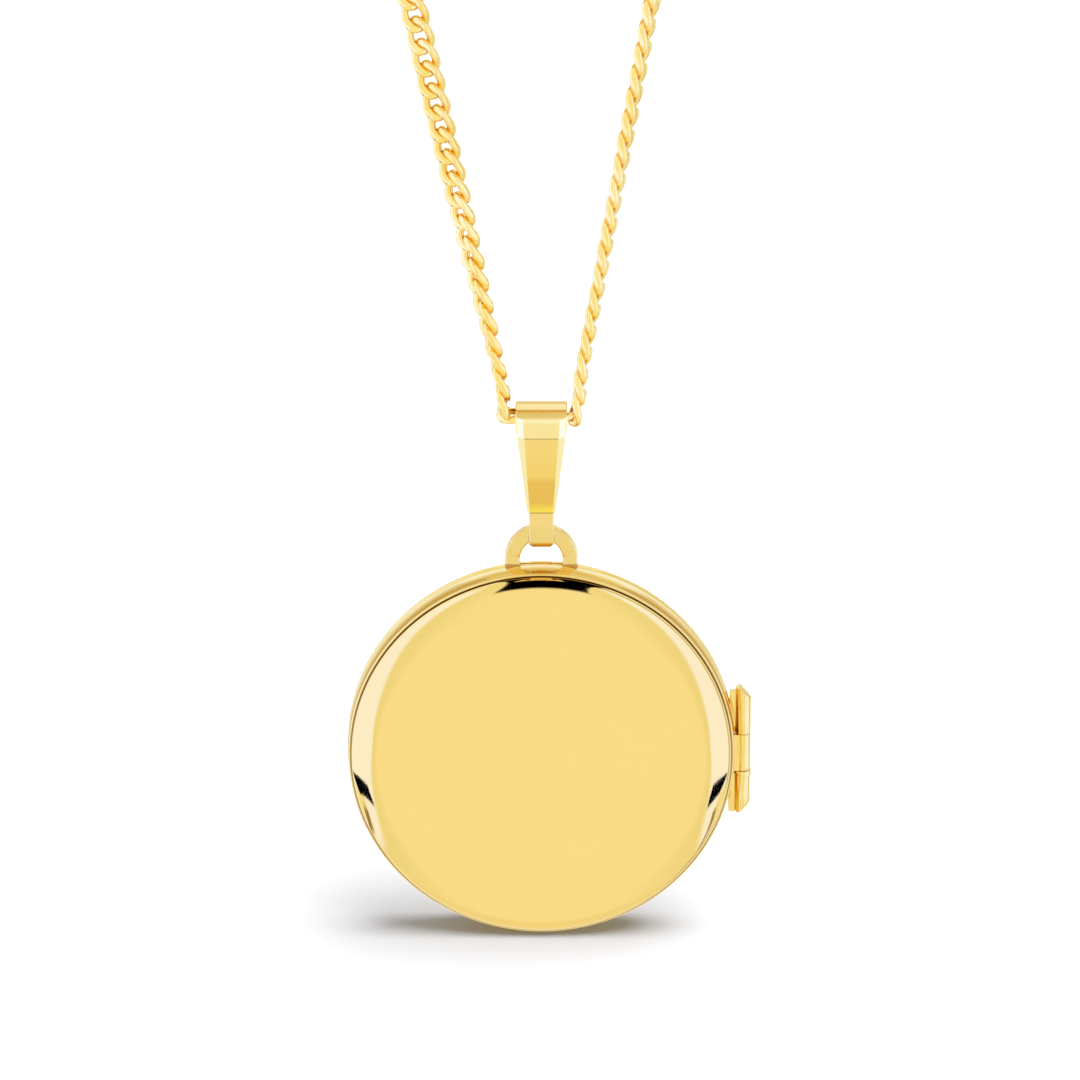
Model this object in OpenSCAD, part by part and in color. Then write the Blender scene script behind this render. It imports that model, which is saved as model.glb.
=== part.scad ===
// Round hinged locket on a curb chain, closed, hanging below a round peg.
// The origin is the middle of the peg: +X to the right, +Y to the back, +Z up.
// The chain that isn't hanging is wound round the peg in two layers.

/* [Locket] */
// Diameter of the locket across its rims
locket_d = 25; // [20:0.5:32]
// Depth of the front half's rim
front_rim_h = 1.95; // [1.8:0.05:3]
// Depth of the back half's rim
back_rim_h = 0.65; // [0.5:0.05:1.5]
// Radius of the covers' rounded edges
edge_r = 0.92; // [0.7:0.02:1.3]
// Thickness of the covers' sheet
sheet_t = 0.3; // [0.2:0.02:0.4]
// Thickness of the rims' walls
rim_t = 0.45; // [0.3:0.05:0.7]

/* [Closing lip] */
// How far the lip reaches into the front half
lip_reach = 0.8; // [0.4:0.05:1]
// Thickness of the lip's wall
lip_t = 0.2; // [0.15:0.01:0.3]
// Gap between the lip and the front rim
lip_gap = 0.08; // [0.06:0.01:0.12]
// Length of the snap bead along the lip
bead_l = 2.4; // [1:0.1:4]
// Height of the snap bead above the lip
bead_h = 0.05; // [0.02:0.01:0.055]

/* [Photo frames] */
// Width of each frame's ring
frame_w = 1.1; // [0.7:0.1:2]
// Thickness of each frame
frame_t = 0.45; // [0.3:0.05:0.5]
// Thickness of each clear window
window_t = 0.3; // [0.2:0.05:0.4]
// Gap round a frame or a window where it sits in its half
seat_gap = 0.02; // [0.01:0.01:0.05]

/* [Hinge] */
// Diameter of the knuckles
knuckle_d = 1; // [0.8:0.05:1.4]
// Diameter of the hinge pin
pin_d = 0.5; // [0.3:0.05:0.6]
// Radial gap between the pin and the cover's knuckle
pin_gap = 0.03; // [0.02:0.01:0.05]
// Gap between neighbouring knuckles, and between the knuckles and the rims
hinge_gap = 0.03; // [0.02:0.01:0.08]
// Length of the upper knuckle
upper_knuckle_l = 3.15; // [2:0.05:4]
// Length of the cover's knuckle
cover_knuckle_l = 2.5; // [1.5:0.05:4]
// Length of the lower knuckle
lower_knuckle_l = 2.55; // [2:0.05:4]
// Thickness of the washer above the lower knuckle
washer_t = 0.35; // [0.2:0.05:0.6]
// Height of the hinge's upper end above the middle of the locket
hinge_top = 3.98; // [3:0.02:5]
// Thickness of the leaves between the knuckles and the rims
leaf_t = 0.45; // [0.3:0.05:0.48]

/* [Loop] */
// Width of the loop on top of the locket
loop_w = 4.65; // [4:0.05:6]
// Width of the loop's flat strip
loop_strip = 0.97; // [0.8:0.01:1.1]
// Thickness of the loop from front to back
loop_t = 0.65; // [0.4:0.05:0.7]
// Height of the loop above the rim
loop_rise = 2.54; // [2.4:0.02:4]
// Height of the loop's bearing, where the bail's strap goes round it
bearing_h = 0.73; // [0.5:0.01:0.75]

/* [Bail] */
// Width of the bail at its rolled top
bail_top_w = 3.26; // [2.6:0.02:3.26]
// Width of the bail's panel at its lower end
bail_low_w = 1.88; // [1.7:0.02:2.6]
// Width of the strap below the panel
strap_w = 1.57; // [1.2:0.01:1.65]
// Diameter of the bail's rolled top
bail_roll_d = 3.4; // [2.8:0.05:5]
// Thickness of the bail's panels
bail_t = 0.3; // [0.2:0.02:0.4]
// Thickness of the strap round the loop
strap_t = 0.26; // [0.2:0.01:0.35]
// Distance between the middle of the roll and the middle of the loop's bearing
bail_drop = 6.85; // [5:0.05:9]
// Inner radius of the strap round the bearing
strap_r = 0.56; // [0.52:0.01:0.7]
// Height of the panel's lower end above the bearing's middle
panel_rise = 1.4; // [1:0.05:2.5]

/* [Chain] */
// Diameter of the chain's plain form
chain_d = 1.4; // [1.2:0.05:1.4]
// Gap between the chain and the top of the bail's bore
chain_gap = 0.06; // [0.03:0.01:0.2]
// Radius of the coil's outer layer, at the middle of the chain
coil_r = 10.2; // [9:0.1:11]
// Distance between the coil's two layers
layer_step = 1.5; // [1.4:0.05:1.8]
// Width of the coil
coil_w = 6.8; // [5:0.1:9]

/* [Clasp] */
// Diameter of the clasp ring at the middle of its tube
clasp_d = 4.4; // [4:0.1:7]
// Diameter of the clasp ring's tube
clasp_tube_d = 1.1; // [0.9:0.05:1.4]
// Thickness of the clasp tube's wall
clasp_wall = 0.2; // [0.12:0.01:0.25]
// Gap between the bolt and the inside of the tube
bolt_gap = 0.04; // [0.02:0.01:0.06]
// Diameter of the bolt's thumb knob
knob_d = 0.45; // [0.3:0.05:0.6]
// Diameter of the wire of the clasp's rings
ring_wire_d = 0.42; // [0.3:0.02:0.5]
// Diameter of the ring on the chain's end, at the middle of its wire
end_ring_d = 2.2; // [2.1:0.1:2.2]
// Diameter of the jump ring, at the middle of its wire
jump_ring_d = 1.8; // [1.4:0.1:2]

/* [Hidden] */
$fn = 96;
past = 1; // how far a cutter runs past what it cuts

// The chain's routes in the plane y = 0, each from the bail up to its pivot
left_route = [[-1.53, -42.15], [-1.53, -41.4], [-1.55, -40.7], [-1.62, -40], [-1.82, -39],
    [-2.26, -37], [-2.7, -35], [-3.15, -33], [-3.59, -31], [-4.25, -28], [-4.92, -25],
    [-5.58, -22], [-6.24, -19], [-6.91, -16], [-7.57, -13], [-8.01, -11], [-8.51, -8.75]];
right_route = [[3.23, -42.15], [3.23, -41.4], [3.24, -40.7], [3.28, -40], [3.41, -39],
    [3.77, -37], [4.12, -35], [4.48, -33], [4.84, -31], [5.37, -28], [5.9, -25],
    [6.44, -22], [6.97, -19], [7.51, -16], [8.04, -13], [8.4, -11], [8.8, -8.75]];
left_pivot = [-8.68, -8]; // where the left strand starts to swing
right_pivot = [8.94, -8];
left_touch = 192.5; // angle round the coil at which the left strand comes off it
right_touch = -10.1;
tube_sides = 8;

// Places that follow from the sizes
locket_r = locket_d / 2;
chain_z = left_route[0][1];
chain_mid_x = (left_route[0][0] + right_route[0][0]) / 2;
bore_r = bail_roll_d / 2 - bail_t;
roll_z = chain_z - (bore_r - chain_d / 2 - chain_gap);
bearing_z = roll_z - bail_drop;
locket_z = bearing_z - (locket_r + loop_rise - bearing_h / 2);
locket_y = -loop_t / 2; // the closing plane, with the loop's middle at y = 0
lip_r = locket_r - rim_t - lip_gap;
frame_out_r = locket_r - rim_t - seat_gap;
back_frame_out_r = lip_r - lip_t - seat_gap;
hinge_x = locket_r + knuckle_d / 2 + hinge_gap;
cover_knuckle_top = hinge_top - upper_knuckle_l - hinge_gap;
washer_top = cover_knuckle_top - cover_knuckle_l - hinge_gap;
lower_knuckle_top = washer_top - washer_t;
hinge_bottom = lower_knuckle_top - lower_knuckle_l;
pin_inset = knuckle_d; // how far the pin's ends lie inside the hinge's ends
frame_front = -lip_reach - 0.1 - frame_t; // the front frame stays clear of the lip
notch_w = strap_w + 0.1;
tube_r = clasp_tube_d / 2;
bolt_r = tube_r - clasp_wall - bolt_gap;
clasp_y = coil_w / 2 + (end_ring_d + ring_wire_d) / 2 + 0.03;
between_r = coil_r - layer_step / 2; // where the coil's two layers meet
clasp_z = between_r;
clasp_mouth = 22; // half the angle of the clasp ring's mouth, on its +X side
bolt_socket = 6; // how far the bolt reaches into the tube beyond the mouth
bolt_tail = 70;
bolt_travel = 40;
knob_angle = 50;
spring_end = 165;

// A full turn about the Y axis, whose profile's height runs to the back
module turned_back() {
    rotate([-90, 0, 0]) rotate_extrude() children();
}

// The same, with the profile's height running to the front
module turned_front() {
    rotate([90, 0, 0]) rotate_extrude() children();
}

// A ring about the Y axis between two depths
module ring(outer_r, inner_r, y0, y1) {
    translate([0, y0, 0]) turned_back()
        translate([inner_r, 0]) square([outer_r - inner_r, y1 - y0]);
}

// Puts a piece in the locket's own frame: the middle of its closing plane
module in_locket() {
    translate([chain_mid_x, locket_y, locket_z]) children();
}

// Half of a disc's section whose rim is rounded by e
module dome_section(r, e) {
    square([r - e, e]);
    translate([r - e, 0]) intersection() {
        circle(r = e);
        square(e);
    }
}

// A stamped cover: a flat disc with a rounded edge, open at its back
module cover_section() {
    difference() {
        dome_section(locket_r, edge_r);
        dome_section(locket_r - sheet_t, edge_r - sheet_t);
    }
}

module front_cover() {
    color("#f0cc78") in_locket() translate([0, -front_rim_h, 0])
        turned_front() cover_section();
}

module back_cover() {
    color("#f0cc78") in_locket() translate([0, back_rim_h, 0])
        turned_back() cover_section();
}

module front_rim() {
    color("#f7dc98") in_locket() ring(locket_r, locket_r - rim_t, -front_rim_h, 0);
}

module back_rim() {
    color("#f7dc98") in_locket() ring(locket_r, lip_r, 0, back_rim_h);
}

// The lip is fixed in the back rim and slides into the front one
module closing_lip() {
    color("#e2b85c") in_locket() ring(lip_r, lip_r - lip_t, -lip_reach, back_rim_h);
}

// A low bead on the lip, opposite the hinge, that holds the locket shut
module snap_bead() {
    bead_y = -lip_reach / 2;
    bead_t = 0.3;
    color("#e2b85c") in_locket() intersection() {
        ring(lip_r + bead_h, lip_r, bead_y - bead_t / 2, bead_y + bead_t / 2);
        translate([-locket_r, 0, 0]) cube([locket_r, 2 * past, bead_l], center = true);
    }
}

module front_photo_frame() {
    color("#e8c66e") in_locket()
        ring(frame_out_r, frame_out_r - frame_w, frame_front, frame_front + frame_t);
}

module front_window() {
    color("#f4f6f8", 0.4) in_locket()
        ring(frame_out_r, 0, frame_front - window_t, frame_front);
}

module back_photo_frame() {
    back = back_rim_h - window_t;
    color("#e8c66e") in_locket()
        ring(back_frame_out_r, back_frame_out_r - frame_w, back - frame_t, back);
}

module back_window() {
    color("#f4f6f8", 0.4) in_locket()
        ring(back_frame_out_r, 0, back_rim_h - window_t, back_rim_h);
}

// A flat loop in the XZ plane that stands on the back rim
module pendant_loop() {
    arch_r = loop_w / 2;
    hole_r = arch_r - loop_strip;
    arch_z = locket_r + loop_rise - arch_r;
    bearing_bottom = locket_r + loop_rise - bearing_h;
    color("#f3d488") in_locket() difference() {
        translate([0, loop_t, 0]) rotate([90, 0, 0]) linear_extrude(loop_t) difference() {
            union() {
                translate([0, arch_z]) circle(r = arch_r);
                translate([-arch_r, 0]) square([loop_w, arch_z]);
            }
            translate([0, arch_z]) circle(r = hole_r);
            translate([-hole_r, 0]) square([2 * hole_r, arch_z]);
            translate([-notch_w / 2, 0]) square([notch_w, bearing_bottom]);
        }
        translate([0, loop_t / 2, 0]) rotate([90, 0, 0])
            cylinder(h = loop_t + 2 * past, r = locket_r, center = true);
    }
}

// Cuts the outer corner off a knuckle's end
module end_chamfer(z) {
    translate([hinge_x + knuckle_d / 2, 0, z]) rotate([0, 45, 0])
        cube([knuckle_d, 2 * knuckle_d, knuckle_d], center = true);
}

// The flat between a knuckle and its rim: side is 1 on the back rim, -1 on the front
module leaf(low, length, side) {
    inner_x = locket_r - 2 * knuckle_d;
    difference() {
        translate([inner_x, side > 0 ? hinge_gap : -leaf_t, low])
            cube([hinge_x - inner_x, leaf_t - hinge_gap, length]);
        rotate([90, 0, 0]) cylinder(h = 4 * knuckle_d, r = locket_r, center = true);
    }
}

// One knuckle with its leaf, bored from height z0 to height z1
module knuckle(low, length, side, hole_r, z0, z1) {
    difference() {
        union() {
            translate([hinge_x, 0, low]) cylinder(h = length, d = knuckle_d);
            leaf(low, length, side);
        }
        translate([hinge_x, 0, z0]) cylinder(h = z1 - z0, r = hole_r);
    }
}

module hinge_knuckle_top() {
    low = hinge_top - upper_knuckle_l;
    color("#f7dc90") in_locket() difference() {
        knuckle(low, upper_knuckle_l, 1, pin_d / 2, low - past, hinge_top - pin_inset);
        end_chamfer(hinge_top);
    }
}

module hinge_knuckle_middle() {
    low = cover_knuckle_top - cover_knuckle_l;
    color("#ffe9a8") in_locket() knuckle(low, cover_knuckle_l, -1, pin_d / 2 + pin_gap,
        low - past, cover_knuckle_top + past);
}

module hinge_knuckle_bottom() {
    color("#f7dc90") in_locket() difference() {
        knuckle(hinge_bottom, lower_knuckle_l, 1, pin_d / 2,
            hinge_bottom + pin_inset, lower_knuckle_top + past);
        end_chamfer(hinge_bottom);
    }
}

module hinge_washer() {
    color("#fff0c0") in_locket() translate([hinge_x, 0, lower_knuckle_top]) difference() {
        cylinder(h = washer_t, d = knuckle_d);
        translate([0, 0, -past]) cylinder(h = washer_t + 2 * past, d = pin_d);
    }
}

module hinge_pin() {
    low = hinge_bottom + pin_inset;
    color("#d9b868") in_locket() translate([hinge_x, 0, low])
        cylinder(h = hinge_top - pin_inset - low, d = pin_d);
}

// Side outline of a band that runs round two circles, one above the other
module band_section(upper_r, lower_r) {
    lean = asin((upper_r - lower_r) / bail_drop);
    circle(r = upper_r);
    translate([0, -bail_drop]) circle(r = lower_r);
    polygon([[upper_r * cos(lean), upper_r * sin(lean)],
        [-upper_r * cos(lean), upper_r * sin(lean)],
        [-lower_r * cos(lean), lower_r * sin(lean) - bail_drop],
        [lower_r * cos(lean), lower_r * sin(lean) - bail_drop]]);
}

// Front outline of the bail: level at the roll, tapered, then the narrow strap
module bail_front() {
    top = bail_roll_d;
    taper_z = 0.35 * bail_roll_d / 2;
    step_z = panel_rise - bail_drop;
    low = -bail_drop - strap_r - strap_t;
    corner = strap_t;
    polygon([[-bail_top_w / 2, top], [-bail_top_w / 2, taper_z], [-bail_low_w / 2, step_z],
        [-strap_w / 2, step_z], [-strap_w / 2, low + corner], [corner - strap_w / 2, low],
        [strap_w / 2 - corner, low], [strap_w / 2, low + corner], [strap_w / 2, step_z],
        [bail_low_w / 2, step_z], [bail_top_w / 2, taper_z], [bail_top_w / 2, top]]);
}

module bail() {
    color("#f0cb74") translate([chain_mid_x, 0, roll_z]) intersection() {
        rotate([90, 0, 90]) linear_extrude(bail_top_w + past, center = true) difference() {
            band_section(bail_roll_d / 2, strap_r + strap_t);
            band_section(bore_r, strap_r);
        }
        rotate([90, 0, 0]) linear_extrude(bail_roll_d + past, center = true) bail_front();
    }
}

// The links inside the bail, with a round elbow at each end
module chain_in_bail() {
    color("#f3c545") {
        translate([left_route[0][0], 0, chain_z]) rotate([0, 90, 0])
            cylinder(h = right_route[0][0] - left_route[0][0], d = chain_d);
        for (route = [left_route, right_route])
            translate([route[0][0], 0, chain_z]) sphere(d = chain_d);
    }
}

// Unit direction of a route in the XZ plane at its point i
function heading(route, i) =
    let (d = route[min(i + 1, len(route) - 1)] - route[max(i - 1, 0)]) d / norm(d);

// One ring of points round a route's point
function tube_ring(route, i) =
    let (t = heading(route, i), p = route[i])
    [for (k = [0:tube_sides - 1])
        let (a = 360 * k / tube_sides, s = chain_d / 2 * cos(a), y = chain_d / 2 * sin(a))
        [p[0] + s * t[1], y, p[1] - s * t[0]]];

// A tube swept along a route, as one closed solid
module tube(route) {
    last = len(route) - 1;
    points = [for (i = [0:last]) each tube_ring(route, i)];
    sides = [for (i = [0:last - 1]) for (k = [0:tube_sides - 1])
        let (a = i * tube_sides + k, b = i * tube_sides + (k + 1) % tube_sides)
        [a, b, b + tube_sides, a + tube_sides]];
    first_cap = [for (k = [tube_sides - 1:-1:0]) k];
    last_cap = [for (k = [0:tube_sides - 1]) last * tube_sides + k];
    polyhedron(points, concat(sides, [first_cap, last_cap]));
}

module chain_left_strand() {
    color("#f3c545") tube(left_route);
}

module chain_right_strand() {
    color("#f3c545") tube(right_route);
}

// The straight end that leaves the coil, down to the round end the strand swings on
module lead_off(touch, pivot) {
    start = coil_r * [cos(touch), sin(touch)];
    run = pivot - start;
    translate([pivot[0], 0, pivot[1]]) sphere(d = chain_d);
    translate([pivot[0], 0, pivot[1]]) rotate([0, atan2(-run[0], -run[1]), 0])
        cylinder(h = norm(run), d = chain_d);
}

// The left strand's turns: the whole inner layer and the front half of the outer one
module chain_coil_left() {
    color("#efc04a") {
        ring(between_r, between_r - layer_step, -coil_w / 2, coil_w / 2);
        ring(between_r + layer_step, between_r, -coil_w / 2, 0);
        lead_off(left_touch, left_pivot);
    }
}

// The right strand's turns: the back half of the outer layer
module chain_coil_right() {
    color("#f3c95c") {
        ring(between_r + layer_step, between_r, 0, coil_w / 2);
        lead_off(right_touch, right_pivot);
    }
}

// Puts a piece in the clasp ring's frame, with the ring in the XZ plane
module in_clasp() {
    translate([0, clasp_y, clasp_z]) children();
}

// Part of a torus in the XZ plane, from angle a0 to a1 measured from +X towards +Z
module arc_rod(ring_d, rod_d, a0, a1) {
    rotate([90, 0, 0]) rotate([0, 0, a0]) rotate_extrude(angle = a1 - a0)
        translate([ring_d / 2, 0]) circle(d = rod_d);
}

module clasp_body() {
    slot_w = knob_d + 2 * bolt_gap;
    slot_margin = asin(slot_w / clasp_d);
    color("#eec763") in_clasp() difference() {
        arc_rod(clasp_d, clasp_tube_d, clasp_mouth, 360 - clasp_mouth);
        arc_rod(clasp_d, clasp_tube_d - 2 * clasp_wall, clasp_mouth - 1, 361 - clasp_mouth);
        rotate([90, 0, 0]) rotate([0, 0, knob_angle - slot_margin])
            rotate_extrude(angle = bolt_travel + 2 * slot_margin)
                translate([clasp_d / 2, -slot_w / 2]) square([tube_r + past, slot_w]);
    }
}

module clasp_bolt() {
    color("#ffe08a") in_clasp() {
        arc_rod(clasp_d, 2 * bolt_r, -clasp_mouth - bolt_socket, bolt_tail);
        rotate([0, 90 - knob_angle, 0]) translate([0, 0, clasp_d / 2])
            cylinder(h = tube_r + knob_d, d = knob_d);
    }
}

module clasp_spring() {
    color("#c9ccd0") in_clasp()
        arc_rod(clasp_d, 2 * bolt_r - bolt_gap, bolt_tail + 1, spring_end);
}

module clasp_end_loop() {
    loop_d = 1.2;
    color("#eec763") in_clasp() difference() {
        translate([-(clasp_d + clasp_tube_d + loop_d) / 2, 0, 0])
            arc_rod(loop_d, ring_wire_d, 0, 360);
        arc_rod(clasp_d, clasp_tube_d, 90, 270);
    }
}

module clasp_jump_ring() {
    loop_x = -(clasp_d + clasp_tube_d) / 2 - 0.6;
    color("#f3cf72") in_clasp() translate([loop_x - jump_ring_d / 2, 0, 0])
        rotate_extrude() translate([jump_ring_d / 2, 0]) circle(d = ring_wire_d);
}

module chain_end_ring() {
    inside_x = clasp_d / 2 - bolt_r - ring_wire_d / 2 - 0.05;
    color("#f3cf72") in_clasp() translate([inside_x + end_ring_d / 2, 0, 0])
        rotate_extrude() translate([end_ring_d / 2, 0]) circle(d = ring_wire_d);
}

front_cover();
front_rim();
front_photo_frame();
front_window();
hinge_knuckle_middle();
back_cover();
back_rim();
closing_lip();
snap_bead();
back_photo_frame();
back_window();
pendant_loop();
hinge_knuckle_top();
hinge_knuckle_bottom();
hinge_washer();
hinge_pin();
bail();
chain_in_bail();
chain_left_strand();
chain_right_strand();
chain_coil_left();
chain_coil_right();
clasp_body();
clasp_bolt();
clasp_spring();
clasp_end_loop();
clasp_jump_ring();
chain_end_ring();
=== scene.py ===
import math

import bpy
import numpy as np
from mathutils import Matrix, Vector


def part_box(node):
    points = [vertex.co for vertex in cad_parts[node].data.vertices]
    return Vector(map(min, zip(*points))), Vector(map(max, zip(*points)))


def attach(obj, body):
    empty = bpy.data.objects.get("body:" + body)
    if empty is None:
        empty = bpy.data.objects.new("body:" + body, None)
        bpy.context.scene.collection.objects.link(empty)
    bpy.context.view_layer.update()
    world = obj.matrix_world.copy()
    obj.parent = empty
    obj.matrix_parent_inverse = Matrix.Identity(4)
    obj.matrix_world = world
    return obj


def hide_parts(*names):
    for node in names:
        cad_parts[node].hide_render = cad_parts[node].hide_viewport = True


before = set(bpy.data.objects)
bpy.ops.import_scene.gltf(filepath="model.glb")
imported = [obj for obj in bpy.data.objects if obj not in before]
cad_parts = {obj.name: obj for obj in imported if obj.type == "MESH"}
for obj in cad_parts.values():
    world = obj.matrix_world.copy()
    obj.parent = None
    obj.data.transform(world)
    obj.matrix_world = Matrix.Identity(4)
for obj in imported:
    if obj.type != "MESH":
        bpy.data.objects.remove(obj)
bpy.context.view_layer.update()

# Shapes are worked out in millimetres and put into the meshes in metres.
mm = 0.001


def boxOf(node):
    # A node's lowest and highest corner, in millimetres
    low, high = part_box(node)
    return np.array(low) / mm, np.array(high) / mm


rimLow, rimHigh = boxOf("front_rim")
locketR = (rimHigh[0] - rimLow[0]) / 2
locketMid = np.array([(rimLow[0] + rimHigh[0]) / 2, rimHigh[1], (rimLow[2] + rimHigh[2]) / 2])
floorZ = rimLow[2]

cameraSetup = {
    "elevation": 20.0,  # degrees above the horizon
    "distance": 350.0,  # from the aim, in mm
    "lens": 180.6,
    "aimFromLocket": (-0.084, 3.925, 12.615),  # mm from the middle of the closing plane
}


def addObject(name, data):
    made = bpy.data.objects.new(name, data)
    bpy.context.scene.collection.objects.link(made)
    return made


def makeCamera(setup):
    # A camera in front of the locket that looks down on it by the elevation
    data = bpy.data.cameras.new("camera")
    data.lens = setup["lens"]
    data.clip_start = 0.01
    data.clip_end = 20
    camera = addObject("camera", data)
    tilt = math.radians(setup["elevation"])
    aim = locketMid + np.array(setup["aimFromLocket"])
    place = aim + setup["distance"] * np.array([0, -math.cos(tilt), math.sin(tilt)])
    camera.location = Vector(place * mm)
    camera.rotation_euler = (math.pi / 2 - tilt, 0, 0)
    bpy.context.scene.camera = camera


makeCamera(cameraSetup)
print("camera placed")


def emptyNodes(owner):
    owner.use_nodes = True
    owner.node_tree.nodes.clear()
    return owner.node_tree.nodes, owner.node_tree.links


def newMaterial(name):
    material = bpy.data.materials.new(name)
    nodes, links = emptyNodes(material)
    out = nodes.new("ShaderNodeOutputMaterial")
    shader = nodes.new("ShaderNodeBsdfPrincipled")
    links.new(shader.outputs["BSDF"], out.inputs["Surface"])
    return material, nodes, links, shader


def noiseNode(nodes, links, vector, scale, detail=3.0):
    noise = nodes.new("ShaderNodeTexNoise")
    noise.inputs["Scale"].default_value = scale
    noise.inputs["Detail"].default_value = detail
    links.new(vector, noise.inputs["Vector"])
    return noise.outputs["Fac"]


def mapRange(nodes, links, value, low, high, toLow, toHigh, smooth=False):
    node = nodes.new("ShaderNodeMapRange")
    if smooth:
        node.interpolation_type = "SMOOTHSTEP"
    for key, number in (("From Min", low), ("From Max", high), ("To Min", toLow),
                        ("To Max", toHigh)):
        node.inputs[key].default_value = number
    links.new(value, node.inputs["Value"])
    return node.outputs["Result"]


def mathNode(nodes, links, kind, *values):
    # A Math node; each value is a number or another node's socket
    node = nodes.new("ShaderNodeMath")
    node.operation = kind
    for socket, value in zip(node.inputs, values):
        if isinstance(value, (int, float)):
            socket.default_value = value
        else:
            links.new(value, socket)
    return node.outputs[0]


def vectorNode(nodes, links, kind, place, by=None):
    node = nodes.new("ShaderNodeVectorMath")
    node.operation = kind
    links.new(place, node.inputs[0])
    if by is not None:
        node.inputs[1].default_value = by
    return node.outputs["Value" if kind == "LENGTH" else "Vector"]


def mixColour(nodes, links, fac, first, second):
    node = nodes.new("ShaderNodeMix")
    node.data_type = "RGBA"
    links.new(fac, node.inputs["Factor"])
    for socket, colour in ((node.inputs["A"], first), (node.inputs["B"], second)):
        if isinstance(colour, tuple):
            socket.default_value = (*colour, 1)
        else:
            links.new(colour, socket)
    return node.outputs["Result"]


# Half the width between the bail's side bevels, at the top and the end of the panel, and the
# height from which the bevels' painted highlight, the tint, goes down
panelEdge = {"topZ": -42.2, "topHalf": 1.14, "lowZ": -48.24, "lowHalf": 0.73, "paintedHighlightZ": -41.7,
             "tint": (0.94, 0.74, 0.29)}

bailPaintedReflections = [
    # from and to a height in mm, and the painted tone of reflection and shade from there down
    (-41.6, -41.9, (0.91, 0.69, 0.28)),
    (-42.93, -42.97, (0.62, 0.42, 0.12)),
    (-43.03, -43.07, (0.88, 0.60, 0.17)),
    (-43.5, -45.6, (0.86, 0.56, 0.135)),
    (-45.6, -46.1, (0.78, 0.46, 0.08)),
    (-47.5, -48.0, (0.90, 0.64, 0.08)),
    (-48.15, -48.17, (0.50, 0.30, 0.08)),
    (-48.25, -48.27, (0.86, 0.60, 0.20)),
    (-49.0, -49.5, (0.83, 0.575, 0.18)),
    (-51.88, -51.90, (0.52, 0.27, 0.06)),
]


def paintBailReflections(nodes, links, place, tint):
    # Painted reflections and shade in the base colour, by height: light round the roll, a fine line
    # where the panel starts, deeper down the panel, and a plainer strap and loop
    split = nodes.new("ShaderNodeSeparateXYZ")
    links.new(place, split.inputs[0])
    height = split.outputs["Z"]
    paintedTones = tint
    for start, end, colour in bailPaintedReflections:
        there = mapRange(nodes, links, height, start * mm, end * mm, 0, 1)
        paintedTones = mixColour(nodes, links, there, paintedTones, colour)
    # Only between the side bevels, whose inner edges run in as the panel narrows
    lowZ = panelEdge["lowZ"]
    aside = mathNode(nodes, links, "SUBTRACT", split.outputs["X"], locketMid[0] * mm)
    aside = mathNode(nodes, links, "ABSOLUTE", aside)
    half = mapRange(nodes, links, height, lowZ * mm, panelEdge["topZ"] * mm,
                    panelEdge["lowHalf"] * mm, panelEdge["topHalf"] * mm)
    inside = mathNode(nodes, links, "LESS_THAN", aside, half)
    below = mapRange(nodes, links, height, lowZ * mm, (lowZ + 0.02) * mm, 1, 0)
    either = mathNode(nodes, links, "MAXIMUM", inside, below)
    # Below that height the bevels take a painted highlight, panelEdge's tint
    low = mapRange(nodes, links, height, (panelEdge["paintedHighlightZ"] - 0.1) * mm, panelEdge["paintedHighlightZ"] * mm,
                   1, 0)
    bevelsWithHighlight = mixColour(nodes, links, low, tint, panelEdge["tint"])
    return mixColour(nodes, links, either, bevelsWithHighlight, paintedTones)


# Painted shade in the grooves between the covers and their rims
seam = {
    "colour": (0.30, 0.14, 0.035),
    "fromEdge": 0.15,  # how far in from the rims' edge the shade starts
    "half": 0.0775,  # half its width across the groove
    "lowFade": (-6, 4, 0.45),  # heights about the middle between which it fades, down to this share
}


def seamShade(nodes, links, place):
    # 1 in the grooves between the covers and their rims: painted shade in the recess
    middle = vectorNode(nodes, links, "SUBTRACT", place, tuple(locketMid * mm))
    radius = vectorNode(nodes, links, "LENGTH", vectorNode(nodes, links, "MULTIPLY", middle,
                                                           (1, 0, 1)))
    split = nodes.new("ShaderNodeSeparateXYZ")
    links.new(middle, split.inputs[0])
    edge = locketR - seam["fromEdge"]
    deep = mapRange(nodes, links, radius, (edge - 0.005) * mm, (edge + 0.005) * mm, 1, 0)
    grooves = []
    for depth in (rimLow[1] - rimHigh[1] + 0.1, boxOf("back_rim")[1][1] - rimHigh[1] - 0.1):
        far = mathNode(nodes, links, "SUBTRACT", split.outputs["Y"], depth * mm)
        far = mathNode(nodes, links, "ABSOLUTE", far)
        grooves.append(mapRange(nodes, links, far, (seam["half"] - 0.0075) * mm,
                                (seam["half"] + 0.0075) * mm, 1, 0))
    either = mathNode(nodes, links, "MAXIMUM", *grooves)
    # Less of the painted shade low down
    low, high, share = seam["lowFade"]
    lowFade = mapRange(nodes, links, split.outputs["Z"], low * mm, high * mm, share, 1)
    return mathNode(nodes, links, "MULTIPLY", mathNode(nodes, links, "MULTIPLY", either, deep),
                    lowFade)


polishAndShade = {
    "slow": 260,  # scale of the slow changes of tone
    "grain": 9000,  # and of the rubbing marks
    "scratch": 0.05,  # how strongly the marks show in the bump
    "cornerReach": 0.0006,  # how near other links deepen the chain's painted shade, in metres
    "cornerShadeColour": (0.92, 0.48, 0.03),
}


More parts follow.
